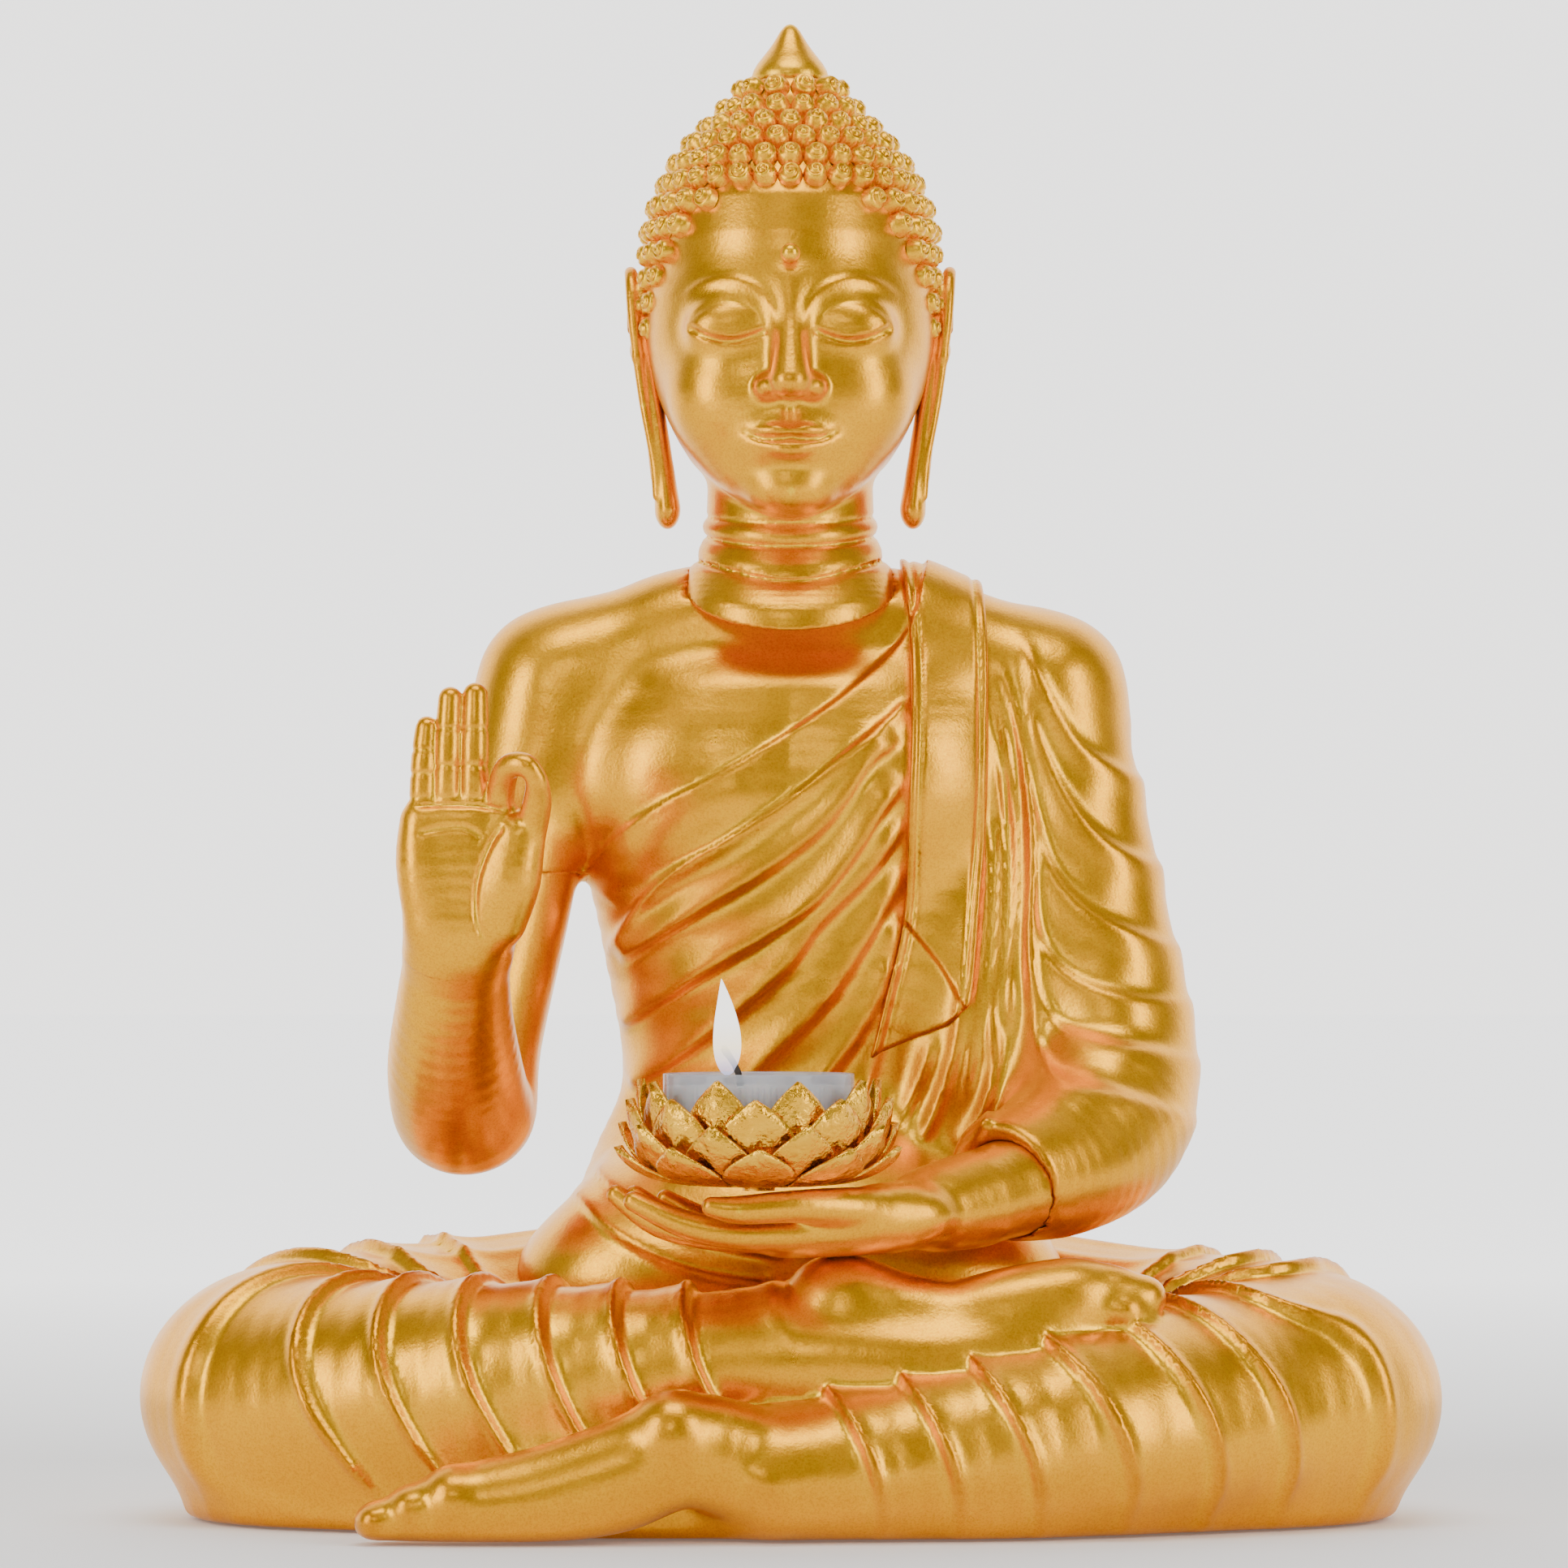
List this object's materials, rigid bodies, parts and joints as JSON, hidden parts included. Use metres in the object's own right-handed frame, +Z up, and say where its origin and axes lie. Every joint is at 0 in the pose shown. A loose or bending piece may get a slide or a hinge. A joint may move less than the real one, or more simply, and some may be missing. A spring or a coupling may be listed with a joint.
{
  "type": "seated buddha tealight statue",
  "caption": "Seated robed buddha in gold-painted cast resin, one hand raised, the other holding a metal lotus that takes a tealight.",
  "frame": {"origin": "middle of the underside of the felt that the statue stands on", "axes": "+Z up; the figure faces -Y and its own right hand, the raised one, is on the -X side"},
  "size_m": [0.262, 0.1596, 0.31],
  "materials": {
    "gold": "metallic gold paint over cast resin",
    "lotus": "thin gold-lacquered sheet metal",
    "steel": "plain steel rod",
    "clear_cup": "clear cup",
    "wax": "white paraffin wax",
    "clip": "stamped sheet",
    "wick": "waxed cotton",
    "board": "fibreboard",
    "felt": "dark felt"
  },
  "bodies": {
    "statue": {"lap_casting": "gold", "torso_casting": "gold", "shoulder_shawl": "gold", "head_casting": "gold", "right_ear": "gold", "left_ear": "gold", "forehead_bead": "gold", "finial": "gold", "hairline_curls": "gold", "crown_curls": "gold", "side_curls": "gold", "nape_curls": "gold", "top_curls": "gold", "right_arm": "gold", "right_hand": "gold", "left_hand": "gold", "waist_dowels": "steel", "neck_dowel": "steel", "right_arm_dowel": "steel", "right_wrist_dowel": "steel", "left_wrist_dowel": "steel", "lotus_tier_1": "lotus", "lotus_tier_2": "lotus", "lotus_tier_3": "lotus", "lotus_tier_4": "lotus", "lotus_rivet": "lotus", "candle_seat": "lotus", "base_plate": "board", "felt_pad": "felt"},
    "tealight": {"tealight_cup": "clear_cup", "tealight_wax": "wax", "wick_clip": "clip", "wick": "wick"}
  },
  "joints": [
    {"name": "tealight_lift", "type": "slide", "parent": "statue", "child": "tealight", "axis": [0, 0, 1], "range_m": [0, 0.04]}
  ]
}
